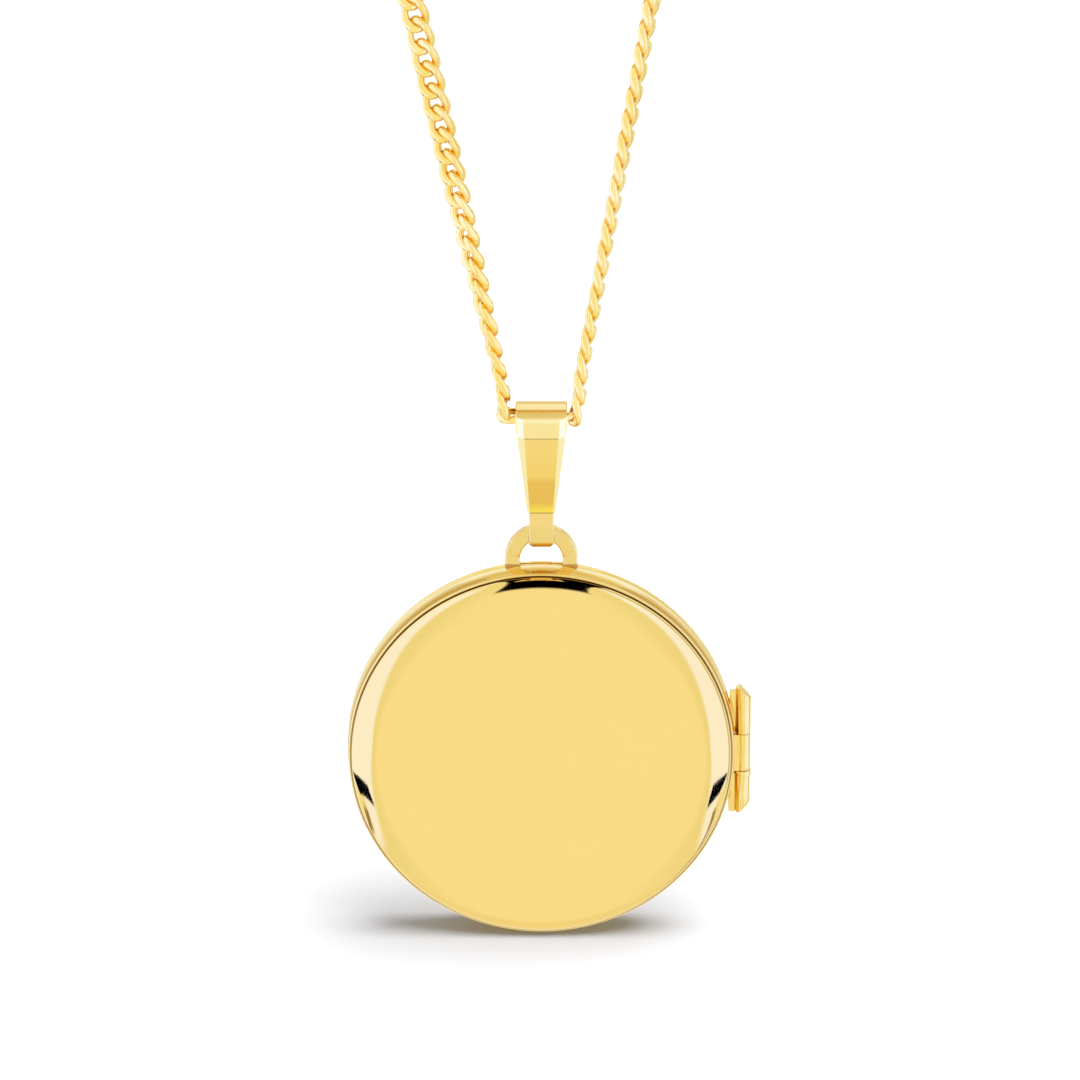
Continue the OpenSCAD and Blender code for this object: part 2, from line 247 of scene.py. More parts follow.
def goldMaterial(name, colour, deep, rough):
    # Polished gold: slow changes of tone, fine rubbing marks in the roughness and the bump, and for
    # some slots painted shade and painted reflections in the base colour
    material, nodes, links, shader = newMaterial(name)
    place = nodes.new("ShaderNodeTexCoord").outputs["Object"]
    slow = noiseNode(nodes, links, place, polishAndShade["slow"], 2)
    tone = mapRange(nodes, links, slow, 0.35, 0.65, 0, 1)
    tint = mixColour(nodes, links, tone, colour, deep)
    if name == "gold_chain":
        # Painted shade: a deeper tone in the corners between the links, from ambient occlusion
        occlusion = nodes.new("ShaderNodeAmbientOcclusion")
        occlusion.samples = 6
        occlusion.inputs["Distance"].default_value = polishAndShade["cornerReach"]
        clear = mapRange(nodes, links, occlusion.outputs["AO"], 0.2, 0.7, 0, 1)
        tint = mixColour(nodes, links, clear, polishAndShade["cornerShadeColour"], tint)
    # Painted reflections and shade on the bail, its strap and the loop, by height
    if name == "gold_bail":
        tint = paintBailReflections(nodes, links, place, tint)
    # Painted shade in the grooves beside the covers
    if name in ("gold_polished", "gold_rim"):
        tint = mixColour(nodes, links, seamShade(nodes, links, place), tint, seam["colour"])
    links.new(tint, shader.inputs["Base Color"])
    marks = noiseNode(nodes, links, place, polishAndShade["grain"], 4)
    links.new(mapRange(nodes, links, marks, 0.3, 0.7, rough * 0.85, rough * 1.15),
              shader.inputs["Roughness"])
    bump = nodes.new("ShaderNodeBump")
    bump.inputs["Strength"].default_value = polishAndShade["scratch"]
    bump.inputs["Distance"].default_value = 0.00001
    links.new(marks, bump.inputs["Height"])
    links.new(bump.outputs["Normal"], shader.inputs["Normal"])
    shader.inputs["Metallic"].default_value = 1
    return material


golds = {
    # slot: colour, deeper colour, roughness
    "gold_polished": ((0.90, 0.63, 0.20), (0.897, 0.626, 0.197), 0.06),
    "gold_rim": ((0.92, 0.66, 0.20), (0.90, 0.61, 0.16), 0.13),
    "gold_bail": ((0.90, 0.64, 0.21), (0.89, 0.61, 0.18), 0.12),
    "gold_inner": ((0.88, 0.60, 0.19), (0.86, 0.57, 0.17), 0.2),
    "gold_chain": ((0.98, 0.73, 0.27), (0.95, 0.66, 0.17), 0.12),
    "gold_clasp": ((0.93, 0.66, 0.18), (0.91, 0.62, 0.15), 0.14),
}
materials = {slot: goldMaterial(slot, *values) for slot, values in golds.items()}


def windowMaterial():
    # Thin clear plastic with faint rubbing marks
    material, nodes, links, shader = newMaterial("clear_window")
    place = nodes.new("ShaderNodeTexCoord").outputs["Object"]
    marks = noiseNode(nodes, links, place, 3000, 4)
    links.new(mapRange(nodes, links, marks, 0.4, 0.7, 0.03, 0.09), shader.inputs["Roughness"])
    shader.inputs["Base Color"].default_value = (0.96, 0.97, 0.98, 1)
    shader.inputs["IOR"].default_value = 1.49
    shader.inputs["Alpha"].default_value = 0.22
    return material


def steelMaterial():
    # Wound spring: fine light and dark bands across its wire
    material, nodes, links, shader = newMaterial("spring_steel")
    place = nodes.new("ShaderNodeTexCoord").outputs["Object"]
    wave = nodes.new("ShaderNodeTexWave")
    wave.inputs["Scale"].default_value = 1200
    links.new(place, wave.inputs["Vector"])
    links.new(mixColour(nodes, links, wave.outputs["Fac"], (0.32, 0.33, 0.35), (0.62, 0.63, 0.65)),
              shader.inputs["Base Color"])
    shader.inputs["Metallic"].default_value = 1
    shader.inputs["Roughness"].default_value = 0.25
    return material


materials["clear_window"] = windowMaterial()
materials["spring_steel"] = steelMaterial()
print("materials made:", len(materials))


def addPiece(name, points, faces, slot, body, stands=(), sharp=None, bevel=0.0):
    # Points in mm become a smooth-shaded mesh in metres; sharp is an angle in degrees
    mesh = bpy.data.meshes.new(name)
    mesh.from_pydata(np.asarray(points, float).tolist(), [], [list(f) for f in faces])
    mesh.validate()
    mesh.polygons.foreach_set("use_smooth", np.ones(len(mesh.polygons), bool))
    piece = addObject(name, mesh)
    if bevel:
        edge = piece.modifiers.new("edge", "BEVEL")
        edge.width = bevel
        edge.segments = 3
        edge.limit_method = "ANGLE"
        edge.angle_limit = math.radians(28)
        edge.harden_normals = True
        evaluated = piece.evaluated_get(bpy.context.evaluated_depsgraph_get())
        bevelled = bpy.data.meshes.new_from_object(evaluated)
        piece.modifiers.clear()
        piece.data = bevelled
        bpy.data.meshes.remove(mesh)
        mesh = bevelled
        mesh.name = name
    if sharp is not None:
        mesh.set_sharp_from_angle(angle=math.radians(sharp))
    mesh.transform(Matrix.Scale(mm, 4))
    mesh.update()
    piece.data.materials.clear()
    piece.data.materials.append(materials[slot])
    if stands:
        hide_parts(*stands)
    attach(piece, body)
    return piece


def gridFaces(rows, columns, closeRows=False, closeColumns=False, flip=False):
    # Quads of a grid of points, rows by columns, with each way closed on itself or open
    i = np.arange(rows if closeRows else rows - 1)
    j = np.arange(columns if closeColumns else columns - 1)
    a, b = np.meshgrid(i, j, indexing="ij")
    a2, b2 = (a + 1) % rows, (b + 1) % columns
    quads = np.stack([a * columns + b, a2 * columns + b, a2 * columns + b2, a * columns + b2], -1)
    quads = quads.reshape(-1, 4)
    return quads[:, ::-1] if flip else quads


def revolve(profile, turns=256):
    # A closed profile (radius, depth) carried round the Y axis; points on the axis are moved off
    # it by a hair, so the pole is a tiny ring that closes the surface
    profile = np.asarray(profile, float)
    angle = np.linspace(0, 2 * np.pi, turns, endpoint=False)[:, None]
    r = np.maximum(profile[:, 0], 0.0005)[None, :]
    points = np.stack([r * np.cos(angle), np.broadcast_to(profile[:, 1], (turns, len(profile))),
                       r * np.sin(angle)], -1)
    return points.reshape(-1, 3), gridFaces(turns, len(profile), True, True)


def arc(centre, radius, start, end, count):
    # Points of a circle's arc, with its angles in degrees
    a = np.radians(np.linspace(start, end, count))
    return np.stack([centre[0] + radius * np.cos(a), centre[1] + radius * np.sin(a)], -1)


chain = {
    "wire": 0.31,  # radius of the wire
    "halfWide": 0.71,  # from the link's middle to the middle of its wire, across
    "halfLong": 1.0,  # and along the chain
    "twist": -38.0,  # each end of a link is turned by this, in degrees
    "flat": 0.5,  # where the links' backs and fronts are pressed flat
    "flatSide": 0.95,  # and their sides
    "pitch": 1.45,
    "diameter": 1.7,
    # roll of the links about the chain at heights above the floor of the route, in degrees
    "leftRoll": [(-8, 8), (-20, 20), (-27, 42), (-34, 66), (-39, 84), (-42, 92)],
    "rightRoll": [(-8, 70), (-20, 76), (-39, 84), (-42, 88)],
    "coilRoll": 45.0,
    "coilSize": 0.95,  # the wound links' width against the hanging ones'
    "bailSize": 0.85,  # and that of the links inside the bail
    "bailReach": (1.75, -41.3),  # half the width that counts as inside it, and the height
}

leftRoute = [(-1.53, -42.15), (-1.53, -41.4), (-1.55, -40.7), (-1.62, -40), (-1.82, -39),
             (-2.26, -37), (-2.7, -35), (-3.15, -33), (-3.59, -31), (-4.25, -28), (-4.92, -25),
             (-5.58, -22), (-6.24, -19), (-6.91, -16), (-7.57, -13), (-8.01, -11), (-8.51, -8.75),
             (-8.68, -8)]
rightRoute = [(3.23, -42.15), (3.23, -41.4), (3.24, -40.7), (3.28, -40), (3.41, -39),
              (3.77, -37), (4.12, -35), (4.48, -33), (4.84, -31), (5.37, -28), (5.9, -25),
              (6.44, -22), (6.97, -19), (7.51, -16), (8.04, -13), (8.4, -11), (8.8, -8.75),
              (8.94, -8)]


def linkMesh(around, section):
    # An oval of round wire, twisted about its long axis in step with the height along it,
    # then pressed flat in front and behind
    t = np.linspace(0, 2 * np.pi, around, endpoint=False)[:, None]
    s = np.linspace(0, 2 * np.pi, section, endpoint=False)[None, :]
    a, b, wire = chain["halfWide"], chain["halfLong"], chain["wire"]
    along = np.stack([-a * np.sin(t), b * np.cos(t)], -1)
    along = along / np.linalg.norm(along, axis=-1, keepdims=True)
    x = a * np.cos(t) + wire * np.cos(s) * along[..., 1]
    z = b * np.sin(t) - wire * np.cos(s) * along[..., 0]
    y = wire * np.sin(s) + 0 * t
    turn = np.radians(chain["twist"]) * np.clip(z / b, -1.2, 1.2)
    x, y = x * np.cos(turn) - y * np.sin(turn), x * np.sin(turn) + y * np.cos(turn)
    y = y / (1 + (np.abs(y) / chain["flat"]) ** 4) ** 0.25
    x = x / (1 + (np.abs(x) / chain["flatSide"]) ** 6) ** (1 / 6)
    return np.stack([x, y, z], -1).reshape(-1, 3), gridFaces(around, section, True, True)


def smoothPath(points, rounds=3):
    # Corners cut again and again at a quarter and three quarters of each run
    points = np.asarray(points, float)
    for _ in range(rounds):
        cut = np.stack([0.75 * points[:-1] + 0.25 * points[1:],
                        0.25 * points[:-1] + 0.75 * points[1:]], 1).reshape(-1, points.shape[1])
        points = np.vstack([points[:1], cut, points[-1:]])
    return points


def pathLength(path):
    # How far along the path each of its points lies
    return np.concatenate([[0], np.cumsum(np.linalg.norm(np.diff(path, axis=0), axis=1))])


def alongPath(path, lengths, s):
    # Points at the lengths s, straight between the path's own
    return np.stack([np.interp(s, lengths, path[:, k]) for k in range(3)], -1)


def chainPiece(name, path, rollAt, sizeAt, body, stands, around, section):
    # Whole links set one after the other, each stiff and as long as the path allows
    lengths = pathLength(path)
    count = max(3, round(lengths[-1] / chain["pitch"]))
    pitch = lengths[-1] / count
    s = (np.arange(count) + 0.5) * pitch
    low, high = alongPath(path, lengths, s - 0.4 * pitch), alongPath(path, lengths, s + 0.4 * pitch)
    axis = (high - low) / np.linalg.norm(high - low, axis=1, keepdims=True)
    across = np.cross([0, 1, 0], axis)
    across = across / np.linalg.norm(across, axis=1, keepdims=True)
    front = np.cross(axis, across)
    roll = np.radians(rollAt(s, (low + high) / 2))[:, None]
    wide = np.cos(roll) * across + np.sin(roll) * front
    thick = np.cos(roll) * front - np.sin(roll) * across
    link, faces = linkMesh(around, section)
    stretch = pitch / chain["pitch"]
    link = np.broadcast_to(link, (count, *link.shape))
    size = sizeAt((low + high) / 2)[:, None, None]
    points = ((low + high)[:, None, :] / 2 + wide[:, None, :] * link[:, :, :1] * size
              + thick[:, None, :] * link[:, :, 1:2] * size
              + axis[:, None, :] * link[:, :, 2:] * stretch)
    allFaces = (faces[None] + (np.arange(count) * link.shape[1])[:, None, None]).reshape(-1, 4)
    piece = addPiece(name, points.reshape(-1, 3), allFaces, "gold_chain", body, stands)
    print(name, "links", count, "length", round(float(lengths[-1]), 1))
    return piece, lengths[-1]


def strandRoll(s, middle):
    # Interpolated from the tables by height, left or right of the bail's middle
    left = np.array(chain["leftRoll"], float)
    right = np.array(chain["rightRoll"], float)
    onLeft = np.interp(-middle[:, 2], -left[:, 0], left[:, 1])
    onRight = np.interp(-middle[:, 2], -right[:, 0], right[:, 1])
    side = np.clip((middle[:, 0] - locketMid[0]) / 2.2 * 0.5 + 0.5, 0, 1)
    return onLeft * (1 - side) + onRight * side


def strandSize(middle):
    half, high = chain["bailReach"]
    inBail = (np.abs(middle[:, 0] - locketMid[0]) < half) & (middle[:, 2] < high)
    return np.where(inBail, chain["bailSize"], 1.0)


def coilSize(middle):
    return np.full(len(middle), chain["coilSize"])


def inPlane(route):
    # A route of x and z in the plane of the strands
    route = np.asarray(route, float)
    return np.stack([route[:, 0], 0 * route[:, 0], route[:, 1]], -1)


hanging = smoothPath(inPlane(leftRoute[::-1] + rightRoute))
strands, strandsLength = chainPiece("chainStrands", hanging, strandRoll, strandSize, "strands",
                                    ("chain_left_strand", "chain_in_bail", "chain_right_strand"),
                                    28, 12)

coil = {
    "outer": 10.2,  # radius of the outer layer
    "inner": 8.7,
    "side": 2.66,  # how far the outermost turns lie from the middle
    "leftTouch": 192.5,  # degrees, where the strands come off the coil
    "rightTouch": -10.1,
    "leftOuterTurns": 1.72,
    "leftInnerTurns": 2.49,
    "rightTurns": 1.22,
    "jumpRing": (-5.02, 4.6, 9.3),  # where the chain's two ends lie
    "endRing": (3.7, 4.6, 9.5),
}


def turnsPath(start, pieces, direction):
    # Points on circles about the Y axis: each piece gives turns, radius from-to and y from-to
    points = []
    angle = start
    for turns, r0, r1, y0, y1 in pieces:
        t = np.linspace(0, 1, max(4, int(turns * 40)))
        a = np.radians(angle + direction * 360 * turns * t)
        r = r0 + (r1 - r0) * t
        points.append(np.stack([r * np.cos(a), y0 + (y1 - y0) * t, r * np.sin(a)], -1))
        angle += direction * 360 * turns
    return np.vstack(points)


side, outer, inner = coil["side"], coil["outer"], coil["inner"]
leftCoil = turnsPath(coil["leftTouch"], [
    (0.25, outer, outer, 0, -0.76),
    (coil["leftOuterTurns"] - 0.4, outer, outer, -0.76, -side),
    (0.15, outer, inner, -side, -side + 0.2),
    (coil["leftInnerTurns"], inner, inner, -side + 0.2, side),
], -1)
rightCoil = turnsPath(coil["rightTouch"], [
    (0.25, outer, outer, 0, 0.76),
    (coil["rightTurns"] - 0.25, outer, outer, 0.76, side),
], 1)
leftPath = smoothPath(np.vstack([inPlane([leftRoute[-1]]), leftCoil, [coil["jumpRing"]]]), 2)
rightPath = smoothPath(np.vstack([inPlane([rightRoute[-1]]), rightCoil, [coil["endRing"]]]), 2)


def coilRoll(first):
    # From the strand's roll at the pivot to the coil's own roll in the first 8 mm
    return lambda s, middle: np.interp(s, [0, 8], [first, chain["coilRoll"]])


leftChain, leftLength = chainPiece("chainWoundLeft", leftPath, coilRoll(chain["leftRoll"][0][1]),
                                   coilSize, "wound_chain", ("chain_coil_left",), 16, 6)
rightChain, rightLength = chainPiece("chainWoundRight", rightPath,
                                     coilRoll(chain["rightRoll"][0][1]),
                                     coilSize, "wound_chain", ("chain_coil_right",), 16, 6)
print("chain laid, mm:", round(float(strandsLength + leftLength + rightLength), 1))

locket = {
    "edge": 0.92,  # depth of the covers' rounded edge
    "inset": 0.26,  # how far the covers' edge lies inside the rims'
    "edgeWide": 1.78,  # width of the rounded edge
    "sheet": 0.3,
    "crown": 0.03,  # how far each cover's middle stands out
    "rimWall": 0.45,
    "seam": 0.075,  # width of the groove between a cover and its rim
    "seamDepth": 0.16,
    "bulge": 0.075,  # how far the rims' middle stands out of their edges' plane
    "closing": 0.02,  # half the width of the closing line
}


def coverProfile(side, depth):
    # side is -1 in front and 1 behind, depth the plane where the cover meets its rim.
    # Crowned disc, a quarter of an ellipse to the rim, down into the groove, then back inside.
    e, sheet = locket["edge"], locket["sheet"]
    wide, outR = locket["edgeWide"], locketR - locket["inset"]
    flatR = outR - wide
    r = np.linspace(0, flatR, 24)
    face = np.stack([r, e + locket["crown"] * (1 - (r / flatR) ** 2)], -1)
    edge = arc((0, 0), 1, 90, 3, 64)[1:]
    edge = np.stack([flatR + wide * edge[:, 0], e * edge[:, 1]], -1)
    wall = np.array([[outR, 0], [outR, -locket["seamDepth"] - 0.02],
                     [outR - 0.2, -locket["seamDepth"] - 0.02], [outR - 0.2, 0],
                     [outR - sheet - 0.02, 0]])
    hollow = arc((0, 0), 1, 2, 90, 14)
    hollow = np.stack([flatR + (wide - sheet) * hollow[:, 0], (e - sheet) * hollow[:, 1]], -1)
    inside = np.array([[0.6 * flatR, e - sheet], [0, e - sheet]])
    profile = np.vstack([face, edge, wall, hollow, inside])
    return np.stack([profile[:, 0], depth + side * profile[:, 1]], -1)


def rimProfile(y0, y1, innerR, grooveLow):
    # A ring between two depths, with a bulging band. One edge has the groove for the cover and
    # a rounded lip, the other the closing line; grooveLow says which.
    bulge, wall, gap = locket["bulge"], 0.03, locket["closing"]
    deep = locketR - 0.2
    grooveR = locketR - locket["inset"] + locket["seam"]
    lip = locketR - bulge - grooveR
    total = y1 - y0
    # Heights run from the grooved edge to the closing line
    groove = np.array([[innerR, locket["seamDepth"]], [grooveR, locket["seamDepth"]],
                       [grooveR, 0.06]])
    rounded = arc((grooveR, lip + 0.02), 1, -90, 0, 10)
    rounded = np.stack([grooveR + lip * (rounded[:, 0] - grooveR),
                        0.02 + lip * (1 + rounded[:, 1] - lip - 0.02)], -1)
    y = np.linspace(0.02 + lip, total - gap - wall, 20)[1:]
    t = (y - y[0]) / (y[-1] - y[0]) * 2 - 1
    band = np.stack([locketR - bulge * t ** 2, y], -1)
    closing = arc((locketR - bulge - wall, y[-1]), wall, 0, 90, 6)[1:]
    low = np.array([[deep, total - gap], [deep, total - 0.004], [innerR, total - 0.004]])
    profile = np.vstack([groove, rounded, band, closing, low])
    if grooveLow:
        return np.stack([profile[:, 0], y0 + profile[:, 1]], -1)
    return np.stack([profile[:, 0], y1 - profile[:, 1]], -1)[::-1]


def placed(points):
    return points + locketMid


frontDepth = rimLow[1] - rimHigh[1]
backLow, backHigh = boxOf("back_rim")
backDepth = backHigh[1] - backLow[1]
lipR = (boxOf("closing_lip")[1][0] - boxOf("closing_lip")[0][0]) / 2

points, faces = revolve(coverProfile(-1, frontDepth))
addPiece("frontCover", placed(points), faces[:, ::-1], "gold_polished", "locket_front",
         ("front_cover",), sharp=40)
points, faces = revolve(coverProfile(1, backDepth))
addPiece("backCover", placed(points), faces, "gold_polished", "locket_back",
         ("back_cover",), sharp=40)
points, faces = revolve(rimProfile(frontDepth, 0, locketR - locket["rimWall"], True))
addPiece("frontRim", placed(points), faces, "gold_rim", "locket_front", ("front_rim",), sharp=40)
points, faces = revolve(rimProfile(0, backDepth, lipR, False))
addPiece("backRim", placed(points), faces, "gold_rim", "locket_back", ("back_rim",), sharp=40)
print("locket shells made")

loopLow, loopHigh = boxOf("pendant_loop")
# The strip's width, its width over the notch, half the notch's width, the corners' cut, and how
# far and over what height the feet flare
loop = {"strip": 0.97, "bearing": 0.73, "notch": 0.79, "bevel": 0.1, "flare": 0.12,
        "flareHigh": 0.8}


def loopMesh():
    # A flat strip on edge, carried up one leg, round the arch and down the other leg. Behind the
    # bail's strap its inner edge rises to the bearing.
    outerR = (loopHigh[0] - loopLow[0]) / 2
    innerR = outerR - loop["strip"]
    archZ = loopHigh[2] - outerR
    middleX = (loopLow[0] + loopHigh[0]) / 2
    footOuter = locketMid[2] + math.sqrt(locketR ** 2 - outerR ** 2) - 0.08
    footInner = locketMid[2] + math.sqrt(locketR ** 2 - innerR ** 2) - 0.08
    # Outer edge and inner edge in step: the arch, the notch's upright side, its level roof,
    # and the same on the other side
    roof, side = outerR - loop["bearing"], loop["notch"]
    turn = math.degrees(math.acos(side / innerR))
    outerTurn = [0, turn + 8, turn + 11, 90]
    low = np.radians(np.linspace(outerTurn[0], outerTurn[1], 25))
    top = np.radians(np.linspace(outerTurn[2], outerTurn[3], 13))
    outerAngle = np.concatenate([low, top])
    outerHalf = outerR * np.stack([np.cos(outerAngle), np.sin(outerAngle)], -1)
    innerAngle = np.radians(np.linspace(0, turn, 25))
    innerHalf = np.vstack([innerR * np.stack([np.cos(innerAngle), np.sin(innerAngle)], -1),
                           np.stack([np.linspace(side, 0, 13), np.full(13, roof)], -1)])
    outerXZ, innerXZ = (np.vstack([half, (half * [-1, 1])[-2::-1]]) + [0, archZ]
                        for half in (outerHalf, innerHalf))
    leg = np.linspace(0, 1, 11)[:-1]
    legs = []
    for radius, foot in ((outerR, footOuter), (innerR, footInner)):
        up = np.stack([0 * leg + radius, foot + (archZ - foot) * leg], -1)
        legs.append((up, (up * [-1, 1])[::-1]))
    outerXZ = np.vstack([legs[0][0], outerXZ, legs[0][1]])
    innerXZ = np.vstack([legs[1][0], innerXZ, legs[1][1]])
    height = outerXZ[:, 1] - footOuter
    flare = loop["flare"] * np.clip(1 - height / loop["flareHigh"], 0, 1) ** 1.5
    y0, y1, b = loopLow[1], loopHigh[1], loop["bevel"]
    # Section: how far from the inner edge to the outer one, how far the corner is cut, and y
    width = np.linalg.norm(outerXZ - innerXZ, axis=1, keepdims=True)
    ring = [(0, 0, y0 + b), (0, b * 0.3, y0 + 0.3 * b), (0, b, y0), (1, -b, y0),
            (1, -b * 0.3, y0 + 0.3 * b), (1, 0, y0 + b), (1, 0, y1 - b), (1, -b, y1),
            (0, b, y1), (0, 0, y1 - b)]
    rows = []
    for share, shift, y in ring:
        place = innerXZ + (outerXZ - innerXZ) * (share + shift / width)
        depth = y - flare if y < (y0 + y1) / 2 else y + flare
        rows.append(np.stack([place[:, 0] + middleX, depth, place[:, 1]], -1))
    points = np.stack(rows, 1)
    faces = gridFaces(points.shape[0], points.shape[1], False, True).tolist()
    last = (points.shape[0] - 1) * points.shape[1]
    faces += [list(range(points.shape[1])), [last + k for k in range(points.shape[1] - 1, -1, -1)]]
    return points.reshape(-1, 3), faces


points, faces = loopMesh()
addPiece("loop", points, faces, "gold_bail", "locket_back", ("pendant_loop",), sharp=20)

bailLow, bailHigh = boxOf("bail")
bail = {
    "lowWide": 1.78,  # width of the panel's lower end
    "strapWide": 1.57,
    "thick": 0.3,
    "strapThick": 0.26,
    "rollThick": 0.22,  # round the chain
    "strapR": 0.56,  # inner radius of the strap
    "panelRise": 1.4,  # height of the panel's end above the bearing's middle
    "bevelSlope": 0.55,  # depth of the side bevels as a share of their width
    "footDeep": 0.42,  # how much thicker the strap is at the bottom
    "strapBack": 0.05,  # how far the strap's face lies behind the panel's
}


def bailMesh():
    # A band carried round two circles joined by straight runs. Its width, side bevels and
    # thickness change with the height.
    rollR = (bailHigh[1] - bailLow[1]) / 2
    lowR = bail["strapR"] + bail["strapThick"]
    rollZ = bailHigh[2] - rollR
    lowZ = bailLow[2] + lowR
    drop = rollZ - lowZ
    middleX = (bailLow[0] + bailHigh[0]) / 2
    topWide = bailHigh[0] - bailLow[0]
    lean = math.degrees(math.asin((rollR - lowR) / drop))
    stepZ = lowZ + bail["panelRise"]
    # Normal's angle in the YZ plane (90 is up, 180 is the front) and the place on each run
    roll = np.linspace(-lean, 180 + lean, 97)
    rollPart = arc((0, rollZ), rollR, roll[0], roll[-1], len(roll))
    down = np.linspace(0, 1, 26)[1:-1]
    low = np.linspace(180 + lean, 360 - lean, 49)
    lowPart = arc((0, lowZ), lowR, low[0], low[-1], len(low))

    def run(a, b, angle):
        # A straight run with two extra stations where the panel steps to the strap
        share = (stepZ - a[1]) / (b[1] - a[1])
        t = np.sort(np.concatenate([down, [share - 0.002, share + 0.002]]))
        return a + (b - a) * t[:, None], np.full(len(t), angle)

    frontRun, frontAngle = run(rollPart[-1], lowPart[0], 180 + lean)
    backRun, backAngle = run(lowPart[-1], rollPart[0], 360 - lean)
    deeper = np.clip(-2 * np.sin(np.radians(low)), 0, 1)
    deeper = bail["footDeep"] * deeper * deeper * (3 - 2 * deeper)
    lowPart = lowPart + deeper[:, None] * np.stack([0 * low, 0 * low - 1], -1)
    line = np.vstack([rollPart, frontRun, lowPart, backRun])
    angle = np.radians(np.concatenate([roll, frontAngle, low, backAngle]))
    normal = np.stack([np.cos(angle), np.sin(angle)], -1)
    z = line[:, 1]
    taperZ = panelEdge["topZ"]
    panel = z > stepZ
    share = np.clip((taperZ - z) / (taperZ - stepZ), 0, 1)
    wide = np.where(panel, topWide + (bail["lowWide"] - topWide) * share, bail["strapWide"])
    corner = 0.7 * np.clip(bailLow[2] - 0.05 - z, 0, None)
    wide = wide - 2 * corner
    fade = np.clip((rollZ + 0.68 * rollR - z) / (0.15 * rollR), 0, 1)
    fade = fade * fade * (3 - 2 * fade)
    inner = np.interp(z, [panelEdge["lowZ"], panelEdge["topZ"]],
                      [panelEdge["lowHalf"], panelEdge["topHalf"]])
    bevel = np.where(panel, wide / 2 - inner, 0.06)
    bevel = np.where(panel, 0.05 + (bevel - 0.05) * fade, bevel)
    dropIn = np.where(panel, bevel * bail["bevelSlope"], 0.04)
    back = np.where(panel, 0.0, bail["strapBack"])
    thick = np.where(panel, bail["thick"], bail["strapThick"])
    thick = np.where(z > rollZ, bail["rollThick"], thick)
    half = wide / 2
    # Section across the band: x, and depth below the outer face
    section = [(-half, dropIn + back), (-half + bevel, back), (half - bevel, back),
               (half, dropIn + back), (half, thick), (-half, thick)]
    rows = []
    for x, depth in section:
        depth = np.broadcast_to(depth, half.shape)
        place = line - normal * depth[:, None]
        rows.append(np.stack([middleX + x, place[:, 0], place[:, 1]], -1))
    points = np.stack(rows, 1)
    return points.reshape(-1, 3), gridFaces(points.shape[0], points.shape[1], True, True)


points, faces = bailMesh()
addPiece("bailBand", points, faces, "gold_bail", "bail", ("bail",), sharp=18)
print("loop and bail made")

hinge = {
    "bevel": 0.05,
    "leaf": 0.45,  # thickness of the leaves
    "chamfer": 0.207,  # how far inside the axis the sloped ends start
    "topReach": 0.35,  # how far the upper leaf ends below its knuckle's end
    "lowReach": -0.1,  # and the lower one above it
    "washerBevel": 0.11,
    "washerOut": 0.05,  # how far the washer stands out of the knuckles
}


def cylinderMesh(x, y, radius, z0, z1, cutTop=0, cutLow=0, around=64):
    # A round post whose ends are level, or sloped at 45 degrees on the outer side: the end's
    # height at a point is the lesser of the level one and the slope's
    a = np.linspace(0, 2 * np.pi, around, endpoint=False)
    slope = lambda px: np.maximum(0, px - (x - hinge["chamfer"]))
    radii = radius * np.array([0.01, 0.35, 0.7, 1.0])
    rows = []
    for r in radii:
        px = x + r * np.cos(a)
        rows.append(np.stack([px, y + r * np.sin(a), z0 + cutLow * slope(px)], -1))
    for r in radii[::-1]:
        px = x + r * np.cos(a)
        rows.append(np.stack([px, y + r * np.sin(a), z1 - cutTop * slope(px)], -1))
    points = np.stack(rows, 0)
    faces = gridFaces(len(rows), around, False, True, flip=True).tolist()
    last = (len(rows) - 1) * around
    faces += [list(range(around)), [last + k for k in range(around - 1, -1, -1)]]
    return points.reshape(-1, 3), faces


def boxMesh(low, high):
    # The eight corners between low and high, and the six sides
    x, y, z = [np.array([a, b]) for a, b in zip(low, high)]
    grid = np.stack(np.meshgrid(x, y, z, indexing="ij"), -1).reshape(-1, 3)
    faces = [[0, 1, 3, 2], [4, 6, 7, 5], [0, 4, 5, 1], [2, 3, 7, 6], [0, 2, 6, 4], [1, 5, 7, 3]]
    return grid, faces


def joined(parts):
    # Several meshes as one, their points one after the other
    points, faces, start = [], [], 0
    for somePoints, someFaces in parts:
        points.append(somePoints)
        faces += [[start + k for k in face] for face in someFaces]
        start += len(somePoints)
    return np.vstack(points), faces


def knuckle(name, node, body, side, cutTop=0, cutLow=0):
    # The post with the leaf that joins it to its rim, on the front's side or the back's
    low, high = boxOf(node)
    radius = (boxOf("hinge_washer")[1][0] - boxOf("hinge_washer")[0][0]) / 2
    x = high[0] - radius
    y = locketMid[1]
    post = cylinderMesh(x, y, radius, low[2], high[2], cutTop, cutLow)
    leafY = (y + 0.03, y + hinge["leaf"]) if side > 0 else (y - hinge["leaf"], y - 0.03)
    leaf = boxMesh((locketMid[0] + locketR - 0.35, leafY[0], low[2] + cutLow * hinge["lowReach"]),
                   (x, leafY[1], high[2] - cutTop * hinge["topReach"]))
    points, faces = joined([post, leaf])
    return addPiece(name, points, faces, "gold_rim", body, (node,), sharp=30, bevel=hinge["bevel"])


knuckle("knuckleTop", "hinge_knuckle_top", "locket_back", 1, cutTop=1)
knuckle("knuckleMiddle", "hinge_knuckle_middle", "locket_front", -1)
knuckle("knuckleBottom", "hinge_knuckle_bottom", "locket_back", 1, cutLow=1)
low, high = boxOf("hinge_washer")
points, faces = cylinderMesh((low[0] + high[0]) / 2, (low[1] + high[1]) / 2,
                             (high[0] - low[0]) / 2 + hinge["washerOut"], low[2], high[2])
addPiece("washer", points, faces, "gold_rim", "locket_back", ("hinge_washer",), sharp=30,
         bevel=hinge["washerBevel"])
print("hinge made")

